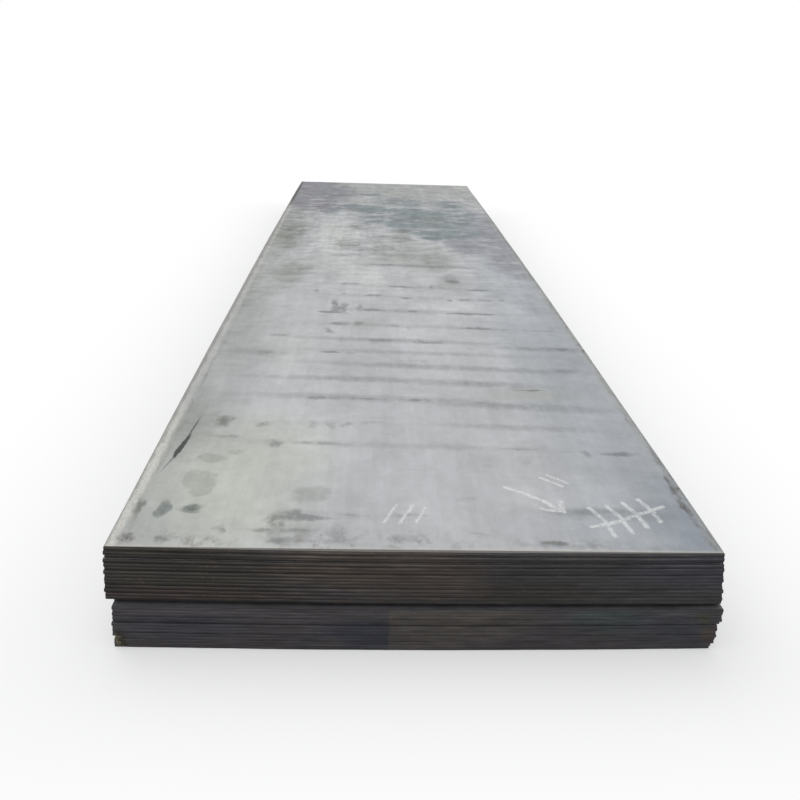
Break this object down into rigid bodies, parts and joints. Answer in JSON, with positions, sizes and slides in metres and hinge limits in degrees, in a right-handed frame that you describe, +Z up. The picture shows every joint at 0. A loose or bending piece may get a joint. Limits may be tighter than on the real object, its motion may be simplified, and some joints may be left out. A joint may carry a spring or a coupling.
{
  "type": "stack of steel plates",
  "caption": "Flat hot-rolled steel plates with rounded mill edges and sheared ends, stacked flush in two bundles.",
  "frame": {"origin": "middle of the stack's footprint, at the underside of the lowest plate", "axes": "+Z up through the stack, +Y along the plates from the front end to the far end, +X across the plates to the right as seen from the front end"},
  "size_m": [1.5356, 6.036, 0.2741],
  "materials": {
    "mill_scale_steel": "pale blue-grey mill scale with thin dark cross streaks, water marks and chalk strokes; dark sheared ends",
    "weathered_steel": "dark blue-grey weathered mill scale with brown rust at the sheared ends"
  },
  "bodies": {
    "root": {"lower_plate_01": "weathered_steel", "lower_plate_02": "weathered_steel", "lower_plate_03": "weathered_steel", "lower_plate_04": "weathered_steel", "lower_plate_05": "weathered_steel", "lower_plate_06": "weathered_steel", "lower_plate_07": "weathered_steel", "lower_plate_08": "weathered_steel", "lower_plate_09": "weathered_steel", "lower_plate_10": "weathered_steel", "lower_plate_11": "weathered_steel", "lower_plate_12": "weathered_steel", "lower_plate_13": "weathered_steel", "lower_plate_14": "weathered_steel", "upper_plate_01": "mill_scale_steel", "upper_plate_02": "mill_scale_steel", "upper_plate_03": "mill_scale_steel", "upper_plate_04": "mill_scale_steel", "upper_plate_05": "mill_scale_steel", "upper_plate_06": "mill_scale_steel", "upper_plate_07": "mill_scale_steel", "upper_plate_08": "mill_scale_steel", "upper_plate_09": "mill_scale_steel", "upper_plate_10": "mill_scale_steel", "upper_plate_11": "mill_scale_steel", "upper_plate_12": "mill_scale_steel", "upper_plate_13": "mill_scale_steel", "upper_plate_14": "mill_scale_steel"}
  },
  "joints": []
}
